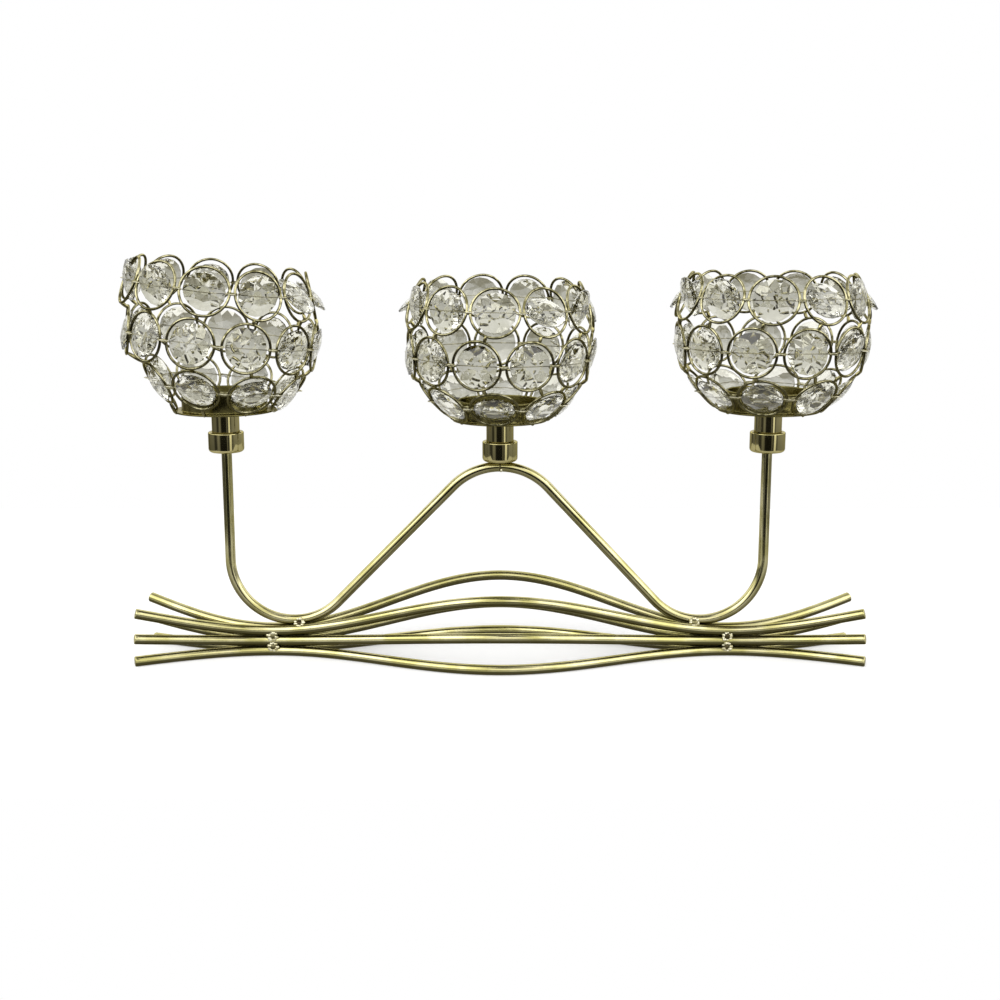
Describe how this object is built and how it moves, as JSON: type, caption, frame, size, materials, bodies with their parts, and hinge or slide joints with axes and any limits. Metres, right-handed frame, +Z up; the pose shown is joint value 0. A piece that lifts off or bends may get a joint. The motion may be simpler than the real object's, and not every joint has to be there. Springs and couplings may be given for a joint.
{
  "type": "candelabra",
  "caption": "Candelabra with openwork bowls of wire rings threaded with cut crystals, held on bent rod arms over a low base of bowed and splayed rods.",
  "frame": {"origin": "middle of the extents, on the surface that the floor rods stand on", "axes": "+X along the row of bowls, to the right in the picture; +Y to the back; +Z up"},
  "size_m": [0.3976, 0.1044, 0.2173],
  "materials": {
    "gold_metal": "polished, pale gold",
    "solder": "rough, bright",
    "crystal": "polished, faceted, clear"
  },
  "bodies": {
    "stand": {"front_floor_rod": "gold_metal", "back_floor_rod": "gold_metal", "front_middle_rod": "gold_metal", "back_middle_rod": "gold_metal", "front_top_rod": "gold_metal", "back_top_rod": "gold_metal", "left_arm_rod": "gold_metal", "right_arm_rod": "gold_metal", "left_front_lower_weld": "solder", "left_front_upper_weld": "solder", "left_front_arm_weld": "solder", "left_back_lower_weld": "solder", "left_back_upper_weld": "solder", "left_back_arm_weld": "solder", "right_front_lower_weld": "solder", "right_front_upper_weld": "solder", "right_front_arm_weld": "solder", "right_back_lower_weld": "solder", "right_back_upper_weld": "solder", "right_back_arm_weld": "solder", "left_socket": "gold_metal", "centre_socket": "gold_metal", "right_socket": "gold_metal"},
    "left_spigot": {"left_spigot": "gold_metal"},
    "left_bowl": {"left_cup": "gold_metal", "left_bottom_rings": "gold_metal", "left_bottom_crystals": "crystal", "left_middle_rings": "gold_metal", "left_middle_crystals": "crystal", "left_top_rings": "gold_metal", "left_top_crystals": "crystal"},
    "centre_spigot": {"centre_spigot": "gold_metal"},
    "centre_bowl": {"centre_cup": "gold_metal", "centre_bottom_rings": "gold_metal", "centre_bottom_crystals": "crystal", "centre_middle_rings": "gold_metal", "centre_middle_crystals": "crystal", "centre_top_rings": "gold_metal", "centre_top_crystals": "crystal"},
    "right_spigot": {"right_spigot": "gold_metal"},
    "right_bowl": {"right_cup": "gold_metal", "right_bottom_rings": "gold_metal", "right_bottom_crystals": "crystal", "right_middle_rings": "gold_metal", "right_middle_crystals": "crystal", "right_top_rings": "gold_metal", "right_top_crystals": "crystal"}
  },
  "joints": [
    {"name": "left_bowl_lift", "type": "slide", "parent": "stand", "child": "left_spigot", "axis": [0, 0, 1], "range_m": [0, 0.009]},
    {"name": "left_bowl_turn", "type": "hinge", "parent": "left_spigot", "child": "left_bowl", "pos_m": [-0.14643, -0.00004, 0.13], "axis": [0, 0, 1], "continuous": true},
    {"name": "centre_bowl_lift", "type": "slide", "parent": "stand", "child": "centre_spigot", "axis": [0, 0, 1], "range_m": [0, 0.009]},
    {"name": "centre_bowl_turn", "type": "hinge", "parent": "centre_spigot", "child": "centre_bowl", "pos_m": [0.00057, -0.00004, 0.1242], "axis": [0, 0, 1], "continuous": true},
    {"name": "right_bowl_lift", "type": "slide", "parent": "stand", "child": "right_spigot", "axis": [0, 0, 1], "range_m": [0, 0.009]},
    {"name": "right_bowl_turn", "type": "hinge", "parent": "right_spigot", "child": "right_bowl", "pos_m": [0.14417, -0.00004, 0.13], "axis": [0, 0, 1], "continuous": true}
  ]
}
